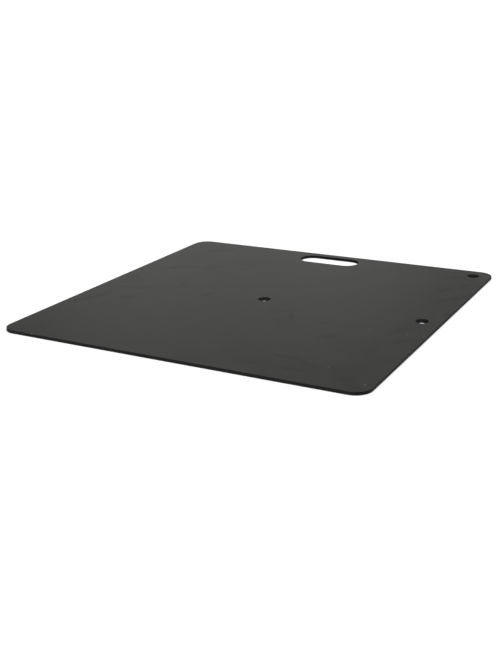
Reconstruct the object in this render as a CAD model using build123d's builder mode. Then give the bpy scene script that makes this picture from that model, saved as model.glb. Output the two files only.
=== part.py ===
"""Flat square steel base plate with a hand slot and three countersunk screw holes.

The plate lies on four thin rubber feet stuck under its corners. An upright or a fitting is
held by an M10 flush-head screw in any one of the three holes: the middle of the plate, the
middle of its right-hand edge, or its rear right-hand corner.

Millimetres, +Z up. The origin is on the floor under the plate's centre. +Y points to the edge
with the hand slot and +X to the edge with the side screw hole.
"""

import os
from math import radians, tan

from build123d import *

os.makedirs("parts", exist_ok=True)

# The sheet
plate_side = 600.0  # square, edge to edge
sheet_thickness = 4.0  # mild steel
coat_thickness = 0.1  # powder coat, on each face
corner_radius = 25.0  # the four corners, seen from above
edge_radius = 0.5  # broken and coated edges, above and below

# The hand slot, a stadium cut through the sheet
slot_length = 113.0  # end to end
slot_width = 44.0  # front to back
slot_margin = 16.0  # steel left between the slot and the rear edge

# The screw holes, countersunk from above
hole_inset = 30.0  # from a hole's centre to the edges beside it
rim_diameter = 21.0  # mouth of the cone, for an M10 flush head
cone_angle = 90.0  # full angle of the cone
land_height = 0.4  # straight wall left below the cone
rim_radius = 0.25  # coat drawn round the mouth's edge

# The rubber feet
foot_diameter = 40.0
foot_thickness = 1.0
foot_edge_radius = 0.3  # rounded lower edge
foot_inset = 65.0  # from a foot's centre to the two plate edges beside it

# Worked out from the values above
half_side = plate_side / 2
plate_thickness = sheet_thickness + 2 * coat_thickness
plate_bottom = foot_thickness
plate_top = plate_bottom + plate_thickness
slot_centre_y = half_side - slot_margin - slot_width / 2
hole_offset = half_side - hole_inset
hole_centres = [(0, 0), (hole_offset, 0), (hole_offset, hole_offset)]
cone_depth = plate_thickness - land_height
hole_diameter = rim_diameter - 2 * cone_depth * tan(radians(cone_angle / 2))
foot_offset = half_side - foot_inset

# The plate: the sheet's outline less the hand slot, with its edges broken, then the holes
with BuildPart() as base_plate:
    with BuildSketch(Plane.XY.offset(plate_bottom)):
        RectangleRounded(plate_side, plate_side, corner_radius)
        with Locations((0, slot_centre_y)):
            SlotOverall(slot_length, slot_width, mode=Mode.SUBTRACT)
    extrude(amount=plate_thickness)
    top_and_bottom = base_plate.faces().filter_by(Axis.Z)
    fillet(top_and_bottom.edges(), edge_radius)
    with Locations(*[(x, y, plate_top) for x, y in hole_centres]):
        CounterSinkHole(
            radius=hole_diameter / 2,
            counter_sink_radius=rim_diameter / 2,
            depth=plate_thickness,
            counter_sink_angle=cone_angle,
        )
    top_circles = base_plate.edges().filter_by(GeomType.CIRCLE).group_by(Axis.Z)[-1]
    rims = top_circles.filter_by(lambda edge: abs(edge.radius - rim_diameter / 2) < 0.01)
    fillet(rims, rim_radius)

base_plate.part.label = "base_plate"
export_step(base_plate.part, "parts/base_plate.step")

# The feet: one rubber disc inside each corner, stuck to the underside of the plate
foot_places = {
    "front_left_foot": (-foot_offset, -foot_offset),
    "front_right_foot": (foot_offset, -foot_offset),
    "rear_left_foot": (-foot_offset, foot_offset),
    "rear_right_foot": (foot_offset, foot_offset),
}

for foot_name, foot_centre in foot_places.items():
    with BuildPart() as foot:
        with BuildSketch(Plane.XY):
            with Locations(foot_centre):
                Circle(foot_diameter / 2)
        extrude(amount=foot_thickness)
        fillet(foot.edges().group_by(Axis.Z)[0], foot_edge_radius)

    foot.part.label = foot_name
    export_step(foot.part, f"parts/{foot_name}.step")

print(f"plate {plate_side:g} x {plate_side:g} x {plate_thickness:g}, top face at z = {plate_top:g}")
print(f"screw holes {hole_diameter:.2f} across at the land, {land_height:g} high")
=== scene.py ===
# %% [markdown]
# # A black steel floor plate, in cells
#
# The object is one square steel plate, 600 mm on a side and about 4 mm thick, with a hand slot
# near the rear edge and three countersunk screw holes. It lies on four thin rubber feet. A thing
# this plain has nowhere to hide: what makes it look real is its finish and the light that grazes
# it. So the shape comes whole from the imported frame, and most of these cells are about powder
# coat, the thick paint that is dusted on to the steel dry and then baked.
#
# The first cell loads the frame. Its box is measured straight away, before anything is added.

# %% Load the fixed frame
from math import cos, pi, radians, sin

import bpy
import numpy as np
from mathutils import Matrix, Vector


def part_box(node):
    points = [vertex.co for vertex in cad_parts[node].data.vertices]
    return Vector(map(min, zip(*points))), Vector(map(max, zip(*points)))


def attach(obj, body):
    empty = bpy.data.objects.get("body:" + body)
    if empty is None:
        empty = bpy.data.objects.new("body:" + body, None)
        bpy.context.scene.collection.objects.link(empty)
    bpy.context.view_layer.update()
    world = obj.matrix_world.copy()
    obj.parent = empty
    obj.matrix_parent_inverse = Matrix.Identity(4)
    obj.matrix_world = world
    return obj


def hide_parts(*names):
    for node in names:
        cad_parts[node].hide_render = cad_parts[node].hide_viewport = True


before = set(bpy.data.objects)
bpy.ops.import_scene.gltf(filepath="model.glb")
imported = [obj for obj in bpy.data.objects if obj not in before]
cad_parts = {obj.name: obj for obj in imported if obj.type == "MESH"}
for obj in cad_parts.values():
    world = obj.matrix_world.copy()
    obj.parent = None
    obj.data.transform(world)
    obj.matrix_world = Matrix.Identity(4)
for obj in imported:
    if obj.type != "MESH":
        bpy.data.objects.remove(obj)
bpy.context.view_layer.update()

mm = 0.001
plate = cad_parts["base_plate"]
plate_low, plate_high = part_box("base_plate")
plate_middle = Vector((0, 0, plate_high.z))
print("plate", [round(side / mm, 2) for side in plate_high - plate_low], "mm")

# %% [markdown]
# ## The camera
#
# A long lens from low down, a little to the right of the front. The eye is placed on a sphere
# round the middle of the top face, by azimuth, elevation and distance, the way one would tell an
# assistant where to stand. Pan, tilt and roll then turn it, because a camera never points quite
# at the middle. A "track to" constraint would be shorter, but it can't hold an off-centre view
# or a roll.

# %% Stand the camera
eye_azimuth, eye_elevation, eye_distance = radians(27.88), radians(17.46), 1.6124
eye_pan, eye_tilt, eye_roll = radians(28.793), radians(-18.959), radians(-1.280)


def direction(azimuth, elevation):
    """Unit vector from the plate: azimuth 0 is the front (-Y) and 90 degrees the right (+X)."""
    flat = cos(elevation)
    return Vector((sin(azimuth) * flat, -cos(azimuth) * flat, sin(elevation)))


camera = bpy.data.objects.new("camera", bpy.data.cameras.new("camera"))
bpy.context.scene.collection.objects.link(camera)
bpy.context.scene.camera = camera
camera.data.lens = 54.37
camera.data.sensor_width = 36.0
camera.data.clip_end = 100.0

heading = Matrix.Rotation(eye_pan, 4, "Z") @ Matrix.Rotation(pi / 2 + eye_tilt, 4, "X")
eye = plate_middle + eye_distance * direction(eye_azimuth, eye_elevation)
camera.matrix_world = Matrix.Translation(eye) @ heading @ Matrix.Rotation(eye_roll, 4, "Z")
print("eye at", [round(value, 3) for value in eye], "m")

# %% [markdown]
# ## A helper for nodes
#
# A finish is a chain of small nodes. Written out in full, each takes four or five lines. This
# helper adds one node, fills its sockets and links it in a single call, so that the cells below
# can be read like a recipe. A socket is named, or numbered where two share a name.

# %% Add one node
def add(tree, kind, inputs=None, **settings):
    """Adds one node. A value that is another node's output is linked, and any other is set."""
    made = tree.nodes.new(kind)
    for name, value in settings.items():
        setattr(made, name, value)
    for name, value in (inputs or {}).items():
        if isinstance(value, bpy.types.NodeSocket):
            tree.links.new(value, made.inputs[name])
        else:
            made.inputs[name].default_value = value
    return made


print("one helper for every node below")

# %% [markdown]
# ## The floor
#
# A black plate shows whatever stands round it, so the room is part of the finish. The floor is
# pale paper that runs on to the horizon. One big face is enough, because nothing in it bends.
# The paper is very nearly without gloss, or the low lights behind the plate would leave a sheen
# on it.

# %% Lay the floor
floor_reach = 60.0
paper_white, paper_roughness, paper_gloss = (0.85, 0.85, 0.85, 1), 0.9, 0.1

corner_signs = np.array([(-1, -1, 0), (1, -1, 0), (1, 1, 0), (-1, 1, 0)])
floor_mesh = bpy.data.meshes.new("floor")
floor_mesh.from_pydata((floor_reach * corner_signs).tolist(), [], [(0, 1, 2, 3)])
floor = bpy.data.objects.new("floor", floor_mesh)
bpy.context.scene.collection.objects.link(floor)

paper = bpy.data.materials.new("pale_paper")
paper.use_nodes = True
paper_shader = paper.node_tree.nodes["Principled BSDF"]
paper_shader.inputs["Base Color"].default_value = paper_white
paper_shader.inputs["Roughness"].default_value = paper_roughness
paper_shader.inputs["Specular IOR Level"].default_value = paper_gloss
floor_mesh.materials.append(paper)
print("floor reaches", floor_reach, "m each way")

# %% [markdown]
# ## The room
#
# The room has two brightnesses. Where the eye looks at it directly it is as white as the lit
# floor, and everywhere else it is a dim dome. A dome as bright as it looks would turn the black
# coat grey from end to end. A studio gets the same with black flags, hung just out of view.

# %% Dim the dome
dome_strength, seen_strength = 0.22, 1.0
room_white = (1, 1, 1, 1)

world = bpy.data.worlds.new("studio")
bpy.context.scene.world = world
world.use_nodes = True
sky = world.node_tree
sky.nodes.clear()
looked_at = add(sky, "ShaderNodeLightPath").outputs["Is Camera Ray"]
dome = add(sky, "ShaderNodeBackground", {"Color": room_white, "Strength": dome_strength})
backdrop = add(sky, "ShaderNodeBackground", {"Color": room_white, "Strength": seen_strength})
either = add(sky, "ShaderNodeMixShader", {0: looked_at, 1: dome.outputs[0], 2: backdrop.outputs[0]})
add(sky, "ShaderNodeOutputWorld", {"Surface": either.outputs[0]})
print("dome at", dome_strength, "of white")

# %% [markdown]
# ## The lights
#
# Each light is a sun with a wide disc, which acts like a big softbox far away: its light is even
# over the whole plate and its shadows have soft edges. One hangs overhead, on the eye's side, so
# that the shadow at the near edge stays thin. A weaker one on the right lifts the right-hand wall
# a little out of the black. Both light the floor and hardly show in the top face.
#
# The grey of the plate comes from the low lights behind it. Steel paint is a poor mirror from
# above and a fair one at a glancing angle, so low light from behind skims off the top face into
# the lens. The far half is seen at a flatter angle than the near half, and mirrors more: that is
# the slow fade from grey at the rear to nearly black at the front.

# %% Hang the lights
def softbox(name, azimuth, elevation, strength, spread, colour):
    """A far, wide light. Angles are in degrees, and spread is how wide its disc looks."""
    lamp = bpy.data.lights.new(name, "SUN")
    lamp.energy = strength
    lamp.angle = radians(spread)
    lamp.color = colour
    hung = bpy.data.objects.new(name, lamp)
    bpy.context.scene.collection.objects.link(hung)
    hung.rotation_mode = "QUATERNION"
    towards = direction(radians(azimuth), radians(elevation))
    hung.rotation_quaternion = towards.to_track_quat("Z", "Y")


plain_white, warm_white = (1.0, 1.0, 1.0), (1.0, 0.99, 0.955)

# name, azimuth, elevation, strength, spread, colour
boxes = [
    ("overhead_box", 28, 78, 2.75, 50, plain_white),
    ("right_box", 75, 40, 1.0, 50, plain_white),
    ("rear_middle", 210, 14, 0.046, 24, warm_white),
    ("rear_low", 195, 6, 0.016, 24, warm_white),
    ("rear_right", 180, 14, 0.108, 24, warm_white),
    ("rear_left", 225, 24, 0.014, 24, warm_white),
]
for box in boxes:
    softbox(*box)
print("lights", [lamp.name for lamp in bpy.data.lights])

# %% [markdown]
# ## Nodes that stand for things one can say
#
# Five more helpers, each one idea: arithmetic, a smooth step from one value to another, lumpy
# noise of a stated size, one colour laid over another through a mask, and a place that is
# squeezed so that the lumps on it come out long. Sizes are in metres, because the patterns read
# Object coordinates, which are metres from the plate's middle.

# %% Helpers for patterns
def reckon(tree, operation, first, second=0.0):
    """One sum on two numbers or outputs, such as MULTIPLY or ADD."""
    return add(tree, "ShaderNodeMath", {0: first, 1: second}, operation=operation).outputs[0]


def step(tree, value, start, end, before=0.0, after=1.0):
    """Before up to start, after from end on, and a smooth slope between them."""
    limits = {"Value": value, "From Min": start, "From Max": end, "To Min": before, "To Max": after}
    return add(tree, "ShaderNodeMapRange", limits, interpolation_type="SMOOTHSTEP").outputs["Result"]


def lumps(tree, place, size, detail=2.0):
    """Noise from 0 to 1, with lumps about size metres across."""
    inputs = {"Vector": place, "Scale": 1 / size, "Detail": detail}
    return add(tree, "ShaderNodeTexNoise", inputs).outputs[0]


def cover(tree, mask, under, over):
    """The colour over, laid on the colour under where mask is 1."""
    return add(tree, "ShaderNodeMix", {0: mask, 6: under, 7: over}, data_type="RGBA").outputs[2]


def stretched(tree, place, scale, turn=0.0):
    """The place turned about the vertical, then scaled: a small scale makes long lumps."""
    swung = add(tree, "ShaderNodeMapping", {"Vector": place, "Rotation": (0, 0, radians(turn))})
    return add(tree, "ShaderNodeMapping", {"Vector": swung.outputs[0], "Scale": scale}).outputs[0]


print("five helpers for patterns")

# %% [markdown]
# ## The powder coat begins
#
# One material covers the whole plate, as one coat does. It has to know which face it is on,
# since the top is handled, the underside is scuffed, and the walls are laser cut and get painted
# shade. The surface's own normal says so: its upward part is 1 on the top face, -1 underneath, 0
# on the walls and about 0.7 in the countersinks. Painting each face with its own material would
# also work, but it would leave a hard line along every rounded edge.

# %% Which face is it?
coat = bpy.data.materials.new("black_powder_coat")
coat.use_nodes = True
mix = coat.node_tree
coat_shader = mix.nodes["Principled BSDF"]

place = add(mix, "ShaderNodeTexCoord").outputs["Object"]
normal = add(mix, "ShaderNodeNewGeometry").outputs["Normal"]
upward = add(mix, "ShaderNodeSeparateXYZ", {0: normal}).outputs["Z"]

nearly_flat, flat = 0.90, 0.99
wall_ends, face_begins = 0.72, 0.96
on_top = step(mix, upward, nearly_flat, flat)
underneath = step(mix, upward, -flat, -nearly_flat, 1.0, 0.0)
steepness = reckon(mix, "ABSOLUTE", upward)
on_wall = step(mix, steepness, wall_ends, face_begins, 1.0, 0.0)
print("masks for the top, the underside and the walls")

# %% [markdown]
# ## Orange peel
#
# Baked powder flows until it is nearly level, then sets with a faint pebbled skin that painters
# call orange peel: lumps about 2 mm across and a hundredth of a millimetre high, with a
# finer grit on them. A bump node bends the light without moving the surface, which is right for
# something so shallow. The heights are real, in metres, and the node's distance is left at 1.
#
# The same cut walls that the mask finds get upright furrows, left by the laser under the coat.

# %% Pebble the skin
peel_size, peel_height = 1.9 * mm, 0.011 * mm
grit_size, grit_height = 0.45 * mm, 0.004 * mm
furrow_size, furrow_depth, furrow_squeeze = 0.7 * mm, 0.06 * mm, 0.06

peel = reckon(mix, "MULTIPLY", lumps(mix, place, peel_size), peel_height)
grit = reckon(mix, "MULTIPLY", lumps(mix, place, grit_size, 1.0), grit_height)
skin = reckon(mix, "ADD", peel, grit)

furrow_place = stretched(mix, place, (1, 1, furrow_squeeze))
furrows = reckon(mix, "MULTIPLY", lumps(mix, furrow_place, furrow_size), furrow_depth)
skin_height = reckon(mix, "ADD", skin, reckon(mix, "MULTIPLY", furrows, on_wall))
bent = add(mix, "ShaderNodeBump", {"Height": skin_height, "Strength": 1.0, "Distance": 1.0})
mix.links.new(bent.outputs[0], coat_shader.inputs["Normal"])
print("orange peel", round(peel_size / mm, 1), "mm across, furrows", round(furrow_size / mm, 1), "mm")

# %% [markdown]
# ## Marks left by hands
#
# Black satin coat keeps the grease of every hand that has carried the plate. The marks are soft
# ovals, laid singly or end to end along an arc. Each is a Mapping node, which centres and turns
# the place, and a spherical Gradient, which falls from 1 in the middle to 0 at the rim.

# %% One oval, or many
def oval(tree, place, x, y, turn, half_length, half_width):
    """1 - sqrt(u*u + v*v), where u and v run along and across in half-lengths and half-widths."""
    centring = {
        "Vector": place,
        "Location": (x * mm, y * mm, 0),
        "Rotation": (0, 0, radians(turn)),
        "Scale": (half_length * mm, half_width * mm, 1),
    }
    centred = add(tree, "ShaderNodeMapping", centring, vector_type="TEXTURE")
    inputs = {"Vector": centred.outputs[0]}
    return add(tree, "ShaderNodeTexGradient", inputs, gradient_type="SPHERICAL").outputs["Fac"]


def ovals(tree, place, shapes):
    """The sum of several ovals."""
    total = 0.0
    for shape in shapes:
        total = reckon(tree, "ADD", oval(tree, place, *shape), total)
    return total


print("ovals are given as x, y, turn, half-length and half-width")

# %% [markdown]
# ## Where hands have been
#
# The smears sit where hands go: along the edges that are gripped when the plate is carried or
# slid off a stack, and in a few wipes across the middle. They are listed by place, in
# millimetres from the plate's middle. Scattering them at random would be less work, but it would
# put as many in the middle as at the edges.

# %% Place the smears
# x, y, turn in degrees, half-length, half-width
left_edge_grip = [
    (-277, -133, 30, 20, 14),
    (-274, -124, 60, 16, 12),
    (-262, -98, 74, 44, 10),
    (-275, 21, 40, 14, 8),
    (-250, -34, 25, 26, 9),
    (-220, -29, 15, 30, 10),
    (-213, -83, 0, 22, 20),
    (-167, 19, 50, 13, 6),
    (-98, -16, 60, 30, 10),
]
left_rear_wipe = [
    (-244, 98, 50, 34, 10),
    (-206, 118, 18, 36, 10),
    (-170, 142, 48, 34, 9),
    (-128, 172, 10, 34, 9),
    (-182, 267, 0, 8, 7),
    (-228, 240, 30, 46, 9),
]
finger_loops = [
    (42, -52, 75, 24, 6),
    (58, -42, 15, 20, 6),
    (80, -60, -65, 26, 7),
    (70, -86, -20, 22, 6),
    (168, -124, 46, 26, 9),
    (254, -52, 70, 30, 12),
    (271, -99, 60, 28, 10),
]
right_edge_grip = [
    (242, 246, 20, 26, 16),
    (273, 203, 50, 26, 16),
    (291, 141, 70, 40, 13),
    (266, 116, 60, 40, 14),
    (250, 170, 60, 30, 14),
    (296, 45, 80, 22, 10),
]
front_wipe = [
    (148, -222, 2, 30, 8),
    (184, -232, -26, 34, 8),
    (176, -262, -2, 34, 8),
    (118, -260, 20, 26, 9),
    (261, -266, -20, 20, 14),
    (-19, -255, 0, 14, 4),
]
all_smears = left_edge_grip + left_rear_wipe + finger_loops + right_edge_grip + front_wipe
print(len(all_smears), "smears")

# %% [markdown]
# ## Smears without clean outlines
#
# An oval by itself looks stamped. So the place is pushed about by noise before the ovals read
# it, by up to half of wander_reach each way, and the whole layer is made patchy with lumps as
# wide as a fingertip. Only the top face takes the smears.

# %% Rub the smears in
wander_size, wander_reach = 14 * mm, 13 * mm
fingertip = 16 * mm

wander = add(mix, "ShaderNodeTexNoise", {"Vector": place, "Scale": 1 / wander_size, "Detail": 3.0})
wander_middle = {0: wander.outputs["Color"], 1: (0.5, 0.5, 0.5)}
wander_centred = add(mix, "ShaderNodeVectorMath", wander_middle, operation="SUBTRACT").outputs[0]
wander_scale = {0: wander_centred, "Scale": wander_reach}
wander_push = add(mix, "ShaderNodeVectorMath", wander_scale, operation="SCALE").outputs[0]
pushed_place = add(mix, "ShaderNodeVectorMath", {0: place, 1: wander_push}).outputs[0]

smeared = step(mix, ovals(mix, pushed_place, all_smears), 0.0, 1.0)
patchy = step(mix, lumps(mix, place, fingertip, 4.0), 0.25, 0.70, 0.5, 1.0)
smears = reckon(mix, "MULTIPLY", reckon(mix, "MULTIPLY", smeared, patchy), on_top)
print("smears pushed up to", round(wander_reach / mm / 2, 1), "mm")

# %% [markdown]
# ## Dust
#
# Pale dust shows on black before anything else does. A few bigger crumbs have their own places.
# The rest are scattered by a Voronoi texture: its distance output is 0 at each cell's point, so
# a low threshold leaves one speck in each cell. The place is flattened first, or the cells' third
# dimension would make most of the specks miss the surface.

# %% Dust the top
crumb_radius = 1.0
crumb_places = [(-159, -121), (213, -70), (271, -68), (219, -234), (287, -271)]
crumbs = [(x, y, 0, crumb_radius, crumb_radius) for x, y in crumb_places]
crumb_mask = step(mix, ovals(mix, place, crumbs), 0.0, 0.4)

speck_spacing, speck_radius = 45 * mm, 0.45 * mm
flat_place = stretched(mix, place, (1, 1, 0))
cells = add(mix, "ShaderNodeTexVoronoi", {"Vector": flat_place, "Scale": 1 / speck_spacing})
speck_edge = speck_radius / speck_spacing
specks = step(mix, cells.outputs["Distance"], 0.5 * speck_edge, speck_edge, 1.0, 0.0)
dust = reckon(mix, "MULTIPLY", reckon(mix, "MAXIMUM", crumb_mask, specks), on_top)
print(len(crumbs), "crumbs, and specks every", round(speck_spacing / mm), "mm")

# %% [markdown]
# ## A spot and a chip
#
# There is one round grease spot, and a chip on the front edge where the coat has flaked and the
# steel shows. Both are single ovals that aren't pushed about. The chip is kept off the wall below
# the edge by the normal.

# %% Spot and chip
spot_shape = (140, -70, 0, 6, 6)
chip_shape = (-237, -300, 20, 2.4, 1.8)
grease_spot = step(mix, oval(mix, place, *spot_shape), 0.0, 0.2)
above_wall = step(mix, upward, 0.1, 0.4)
chip = reckon(mix, "MULTIPLY", step(mix, oval(mix, place, *chip_shape), 0.1, 0.4), above_wall)
print("a spot", 2 * spot_shape[-1], "mm across and a chip", 2 * chip_shape[-2], "mm long")

# %% [markdown]
# ## Scuffs underneath
#
# The underside is dragged over floors and other plates, so it has long shallow scratches that
# run about the same way. Noise stretched forty times along one direction makes them. Only its
# highest crests are kept, and a coarser noise breaks the lines up.

# %% Scuff the underside
scratch_squeeze, scratch_turn = 1 / 40, -25
scratch_width, scratch_patch = 0.9 * mm, 70 * mm

scratch_place = stretched(mix, place, (scratch_squeeze, 1, 1), turn=scratch_turn)
scratch_lines = step(mix, lumps(mix, scratch_place, scratch_width, 3.0), 0.60, 0.68)
scratch_areas = step(mix, lumps(mix, place, scratch_patch), 0.45, 0.60)
scratch_marks = reckon(mix, "MULTIPLY", scratch_lines, scratch_areas)
scratches = reckon(mix, "MULTIPLY", scratch_marks, underneath)
print("scratches", abs(scratch_turn), "degrees off the side-to-side line")

# %% [markdown]
# ## The outer walls
#
# The outer walls along their straight sides are painted a lighter grey than the slot's wall, the
# holes and the rounded corners, which keep the painted shade of the walls: this is painted light.
# How far a point is from the middle, sideways or lengthways, whichever is more, finds the
# outermost couple of millimetres, and the wall mask keeps the lighter grey off the faces.

# %% Find the outer walls
edge_band_depth, edge_band_fade = 2.5 * mm, 1.0 * mm
across = add(mix, "ShaderNodeSeparateXYZ", {0: place})
from_middle_x = reckon(mix, "ABSOLUTE", across.outputs["X"])
from_middle_y = reckon(mix, "ABSOLUTE", across.outputs["Y"])
from_middle = reckon(mix, "MAXIMUM", from_middle_x, from_middle_y)
at_edge = step(mix, from_middle, plate_high.x - edge_band_depth, plate_high.x - edge_band_fade)
# painted light: the outer straight walls, lifted above the shaded slot and hole walls
outer_wall_lift = reckon(mix, "MULTIPLY", at_edge, on_wall)
print("rubbed within", round(edge_band_depth / mm, 1), "mm of the straight sides")

# %% [markdown]
# ## The coat's colour
#
# The coat isn't one black: it is a little cloudy over a few fingers' width, where the powder fell
# unevenly, and finely speckled, where grains of powder didn't quite melt. Painted shade on the
# walls, a lighter grey painted back on the outer walls, the smears, the dust, the chip and the
# scratches then go on in turn, each through its own mask. One Colour Ramp could do the clouds,
# but a stack of covers can be read from bottom to top, layer on layer.

# %% Colour the coat
deep_black = (0.0045, 0.0045, 0.0042, 1)
worn_black = (0.0175, 0.0172, 0.0163, 1)
# painted shade: the colour of every cut wall and countersink, darker than the top
wall_shade_black = (0.0030, 0.0030, 0.0029, 1)
# painted light: the outer walls' lighter grey, laid over the painted shade of the walls
outer_wall_light_grey = (0.0095, 0.0095, 0.0092, 1)
grease_black = (0.0050, 0.0050, 0.0046, 1)
scuff_grey = (0.045, 0.045, 0.044, 1)
dust_grey = (0.24, 0.235, 0.22, 1)
bare_steel = (0.10, 0.098, 0.095, 1)
cloud_size, speckle_size = 55 * mm, 0.7 * mm
cloud_share, speckle_share = 0.6, 0.4

clouds = lumps(mix, place, cloud_size, 4.0)
cloudy = reckon(mix, "MULTIPLY", clouds, cloud_share)
speckled = reckon(mix, "MULTIPLY", lumps(mix, place, speckle_size, 1.0), speckle_share)
unevenness = reckon(mix, "ADD", cloudy, speckled)

coat_colour = cover(mix, step(mix, unevenness, 0.3, 0.7), deep_black, worn_black)
# painted shade: every cut wall and countersink is coloured darker than the top
coat_colour = cover(mix, on_wall, coat_colour, wall_shade_black)
# painted light: the outer straight walls are lifted back to a lighter grey
coat_colour = cover(mix, outer_wall_lift, coat_colour, outer_wall_light_grey)
coat_colour = cover(mix, smears, coat_colour, grease_black)
coat_colour = cover(mix, grease_spot, coat_colour, grease_black)
coat_colour = cover(mix, scratches, coat_colour, scuff_grey)
coat_colour = cover(mix, dust, coat_colour, dust_grey)
coat_colour = cover(mix, chip, coat_colour, bare_steel)
mix.links.new(coat_colour, coat_shader.inputs["Base Color"])
print("coat between", deep_black[:3], "and", worn_black[:3])

# %% [markdown]
# ## The coat's gloss
#
# Roughness follows the same masks. The clouds change it most. Grease leaves a film that dulls the
# satin by a hair, and dust is dull. Powder draws back from a sharp cut edge while it melts, so on
# the walls the coat is thin and dry, and they mirror the white floor far less than the top
# mirrors the room. How strongly the coat mirrors at all is one number for the whole plate, so it
# goes straight on to the shader.

# %% Set the gloss
top_roughness, cloud_swing, wall_roughness, dust_roughness = 0.35, 0.14, 0.95, 0.9
grease_change, coat_gloss = 0.03, 0.25

cloud_part = reckon(mix, "MULTIPLY", clouds, cloud_swing)
dullness = reckon(mix, "ADD", cloud_part, top_roughness - cloud_swing / 2)
dullness = reckon(mix, "ADD", dullness, reckon(mix, "MULTIPLY", smears, grease_change))
matt = step(mix, on_wall, 0.0, 1.0, 0.0, wall_roughness)
dullness = reckon(mix, "MAXIMUM", dullness, matt)
dullness = reckon(mix, "MAXIMUM", dullness, reckon(mix, "MULTIPLY", dust, dust_roughness))
mix.links.new(dullness, coat_shader.inputs["Roughness"])
coat_shader.inputs["Specular IOR Level"].default_value = coat_gloss
plate.material_slots[0].material = coat
print("roughness", top_roughness, "on top and", wall_roughness, "on the walls")

# %% [markdown]
# ## The rubber feet
#
# Four self-adhesive rubber discs keep the steel off the floor and stop it sliding. The packed
# feet are plain discs of the right size. The real ones are moulded, with rounded lower rims and
# rings cut into the sole for grip. A turned shape such as this is a profile carried round an
# axis: one row of points from the middle of the sole out to the rim, up the wall and back to the
# middle of the top. This cell works out the row.

# %% Foot profile
foot_low, foot_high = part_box("front_left_foot")
foot_radius = (foot_high.x - foot_low.x) / 2
foot_thickness = foot_high.z - foot_low.z
ring_pitch, ring_depth, ring_count = 3.2 * mm, 0.28 * mm, 5
innermost, rim_round = 0.4 * mm, 0.3 * mm
sole_points, rim_points = 90, 7


def sole_profile():
    """Radius and height of the foot, from the middle of the sole round to the middle of the top.

    The sole's height is depth * (half of 1 - cos(2 pi r / pitch)) to the fourth power, which
    makes narrow round-bottomed grooves. The rim is a quarter circle.
    """
    sole_radius = np.linspace(innermost, foot_radius - rim_round, sole_points)
    groove = (0.5 - 0.5 * np.cos(2 * pi * sole_radius / ring_pitch)) ** 4
    groove[sole_radius > (ring_count + 0.5) * ring_pitch] = 0
    quarter = np.linspace(0, pi / 2, rim_points)[1:]
    rim_radius = foot_radius - rim_round + rim_round * np.sin(quarter)
    rim_height = rim_round - rim_round * np.cos(quarter)
    radius = np.concatenate([sole_radius, rim_radius, [foot_radius, 0.5 * foot_radius]])
    height = np.concatenate([ring_depth * groove, rim_height, [foot_thickness, foot_thickness]])
    return radius, height


profile_radius, profile_height = sole_profile()
print("foot", round(2 * foot_radius / mm, 1), "mm across,", len(profile_radius), "points in its row")

# %% [markdown]
# ## Turning a foot
#
# The row is repeated at each angle as whole arrays, which gives a grid of points: rows run
# outwards and columns run round. Each square of the grid is a face. Both ends are closed on a
# single point with a fan of triangles, so that the foot is a solid with no gap. A Spin or Screw
# modifier would turn the row too, but it would leave the two ends to be closed by hand.

# %% Turn the foot
around = 72


def turned(name, radius, height, centre_x, centre_y, floor_z):
    """x = cx + r cos(a), y = cy + r sin(a), z = floor + h, for each row point and each angle a."""
    angle = np.linspace(0, 2 * pi, around, endpoint=False)
    x = centre_x + np.outer(radius, np.cos(angle))
    y = centre_y + np.outer(radius, np.sin(angle))
    z = floor_z + np.repeat(height[:, None], around, axis=1)
    ends = np.array([[centre_x, centre_y, floor_z], [centre_x, centre_y, floor_z + height[-1]]])
    points = np.concatenate([np.stack([x, y, z], axis=2).reshape(-1, 3), ends])

    this = np.arange(around)
    following = (this + 1) % around
    row = around * np.arange(len(radius) - 1)[:, None]
    next_row = row + around
    sides = np.stack([row + this, next_row + this, next_row + following, row + following], axis=2)
    middle_below, middle_above = len(points) - 2, len(points) - 1
    last = around * (len(radius) - 1)
    below = np.stack([np.full(around, middle_below), this, following], axis=1)
    above = np.stack([np.full(around, middle_above), last + following, last + this], axis=1)
    squares = sides.reshape(-1, 4)
    faces = [grid[:, ::-1].tolist() for grid in (squares, below, above)]

    mesh = bpy.data.meshes.new(name)
    mesh.from_pydata(points.tolist(), [], sum(faces, []))
    mesh.polygons.foreach_set("use_smooth", np.ones(len(mesh.polygons), dtype=bool))
    mesh.update()
    made = bpy.data.objects.new(name, mesh)
    bpy.context.scene.collection.objects.link(made)
    return made


print("a foot is turned in", around, "steps")

# %% [markdown]
# ## Rubber
#
# Moulded rubber is matt and not quite black. It has the fine grain of its mould, and the tread
# holds grey floor dust, more on the sole than on the wall. The sole is found by the surface's
# normal again.

# %% Rubber finish
rubber_black, tread_dust = (0.018, 0.018, 0.018, 1), (0.085, 0.08, 0.073, 1)
dust_patch, grain_size, grain_height = 6 * mm, 0.35 * mm, 0.012 * mm
wall_dust_share, clean_roughness, dusty_roughness, rubber_gloss = 0.25, 0.72, 0.92, 0.35

rubber = bpy.data.materials.new("grip_rubber")
rubber.use_nodes = True
blend = rubber.node_tree
rubber_shader = blend.nodes["Principled BSDF"]

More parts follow.
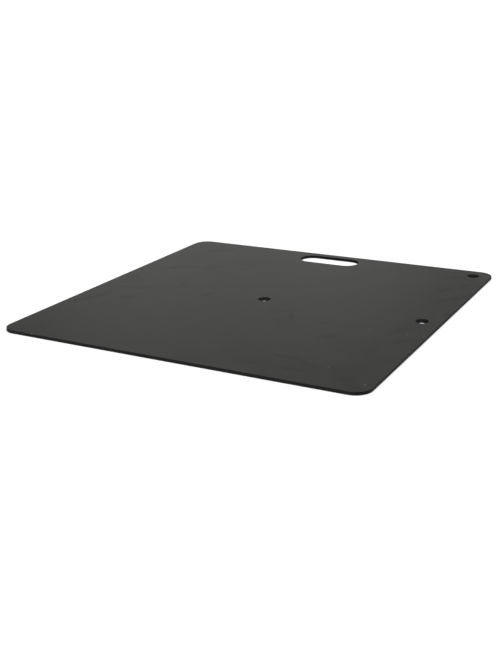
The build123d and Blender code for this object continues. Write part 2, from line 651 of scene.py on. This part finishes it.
rubber_place = add(blend, "ShaderNodeTexCoord").outputs["Object"]
rubber_normal = add(blend, "ShaderNodeNewGeometry").outputs["Normal"]
rubber_upward = add(blend, "ShaderNodeSeparateXYZ", {0: rubber_normal}).outputs["Z"]
on_sole = step(blend, rubber_upward, -0.9, -0.3, 1.0, wall_dust_share)
dust_lumps = step(blend, lumps(blend, rubber_place, dust_patch, 4.0), 0.45, 0.75)
floor_dust = reckon(blend, "MULTIPLY", dust_lumps, on_sole)
rubber_colour = cover(blend, floor_dust, rubber_black, tread_dust)
blend.links.new(rubber_colour, rubber_shader.inputs["Base Color"])
rubber_dullness = step(blend, floor_dust, 0.0, 1.0, clean_roughness, dusty_roughness)
blend.links.new(rubber_dullness, rubber_shader.inputs["Roughness"])

mould_grain = reckon(blend, "MULTIPLY", lumps(blend, rubber_place, grain_size), grain_height)
grained = add(blend, "ShaderNodeBump", {"Height": mould_grain, "Strength": 1.0, "Distance": 1.0})
blend.links.new(grained.outputs[0], rubber_shader.inputs["Normal"])
rubber_shader.inputs["Specular IOR Level"].default_value = rubber_gloss
print("rubber with a", round(grain_size / mm, 2), "mm mould grain")

# %% [markdown]
# ## Four feet in their places
#
# Each turned foot stands for one packed disc. Its place comes from that disc's own box, so a foot
# that is moved in the imported part moves here too. The disc is hidden and stays in the motion
# model, and the new piece gets the rubber in a slot of its own.

# %% Stick the feet on
for corner in ("front_left", "front_right", "rear_left", "rear_right"):
    corner_low, corner_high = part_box(corner + "_foot")
    middle = (corner_low + corner_high) / 2
    foot_name = corner + "_grip_foot"
    foot = turned(foot_name, profile_radius, profile_height, middle.x, middle.y, corner_low.z)
    foot.data.materials.append(rubber)
    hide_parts(corner + "_foot")
    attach(foot, "root")
    centre = [round(value / mm, 1) for value in middle]
    print(foot.name, "at", centre, "mm,", len(foot.data.polygons), "faces")

# %% [markdown]
# ## Tone
#
# The Standard view keeps the tones as the lights give them, so the paper comes out white and the
# coat comes out black. A filmic view would lift the blacks and dull the white.

# %% Set the tone
bpy.context.scene.view_settings.view_transform = "Standard"
